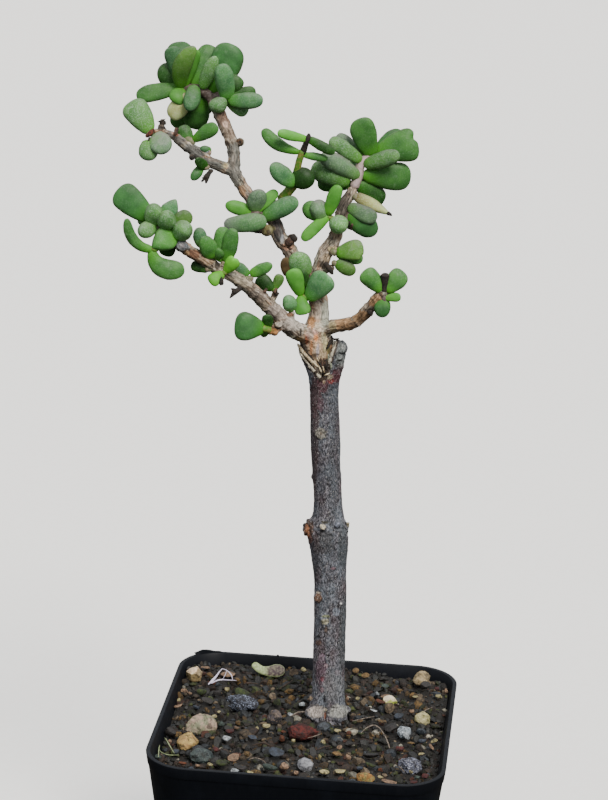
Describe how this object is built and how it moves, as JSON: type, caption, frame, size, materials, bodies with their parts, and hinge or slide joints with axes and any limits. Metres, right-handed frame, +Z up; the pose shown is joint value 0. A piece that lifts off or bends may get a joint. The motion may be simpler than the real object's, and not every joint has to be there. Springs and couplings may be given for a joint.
{
  "type": "potted ceraria pygmaea",
  "caption": "Small-leaved branching succulent cleft-grafted on a tall bare rootstock, standing in gravelly soil in a square black plastic nursery pot.",
  "frame": {"origin": "middle of the pot's underside", "axes": "+Z up along the stem, the pot's sides face X and Y, the plant's front faces -Y"},
  "size_m": [0.0909, 0.076, 0.2473],
  "materials": {
    "pot_plastic": "black satin moulded polypropylene",
    "soil_grit": "rough mixed mineral grit",
    "rootstock_bark": "fissured grey-purple bark",
    "scion_bark": "flaking tan and grey bark",
    "leaf_skin": "smooth waxy succulent leaf with a pale bloom",
    "pale_stone": "rough pale stone",
    "dark_stone": "rough dark stone",
    "red_stone": "porous red lava",
    "dry_litter": "dropped leaf and dry litter"
  },
  "bodies": {
    "root": {"pot": "pot_plastic", "soil": "soil_grit", "rootstock": "rootstock_bark", "scion_wood": "scion_bark", "crown_leaves": "leaf_skin", "high_left_tip_leaves": "leaf_skin", "high_left_upper_leaves": "leaf_skin", "high_left_lower_leaves": "leaf_skin", "low_left_tip_leaves": "leaf_skin", "low_left_hanging_leaves": "leaf_skin", "low_left_top_leaves": "leaf_skin", "low_left_under_leaf": "leaf_skin", "low_left_paired_leaves": "leaf_skin", "low_left_new_leaves": "leaf_skin", "low_left_middle_leaves": "leaf_skin", "middle_leaves": "leaf_skin", "twig_leaves": "leaf_skin", "right_crown_leaves": "leaf_skin", "right_limb_left_leaves": "leaf_skin", "right_limb_front_leaf": "leaf_skin", "right_limb_right_leaves": "leaf_skin", "right_limb_pale_leaf": "leaf_skin", "right_limb_low_leaves": "leaf_skin", "right_limb_short_leaf": "leaf_skin", "trunk_front_leaf": "leaf_skin", "trunk_leaves": "leaf_skin", "stub_leaf": "leaf_skin", "fork_leaves": "leaf_skin", "trunk_left_leaves": "leaf_skin", "low_right_tip_leaves": "leaf_skin", "back_low_leaves": "leaf_skin", "back_middle_leaves": "leaf_skin", "back_right_leaves": "leaf_skin", "back_trunk_leaf": "leaf_skin", "stone_pink": "pale_stone", "stone_ochre": "pale_stone", "stone_green_grey": "dark_stone", "stone_blue_grey": "dark_stone", "stone_red": "red_stone", "stone_dark": "dark_stone", "stone_tan": "pale_stone", "stone_cream": "pale_stone", "stone_white": "pale_stone", "stone_pale": "pale_stone", "stone_speckled": "dark_stone", "stone_light_grey": "pale_stone", "stone_orange": "pale_stone", "stone_peach": "pale_stone", "fallen_leaf": "dry_litter"}
  },
  "joints": []
}
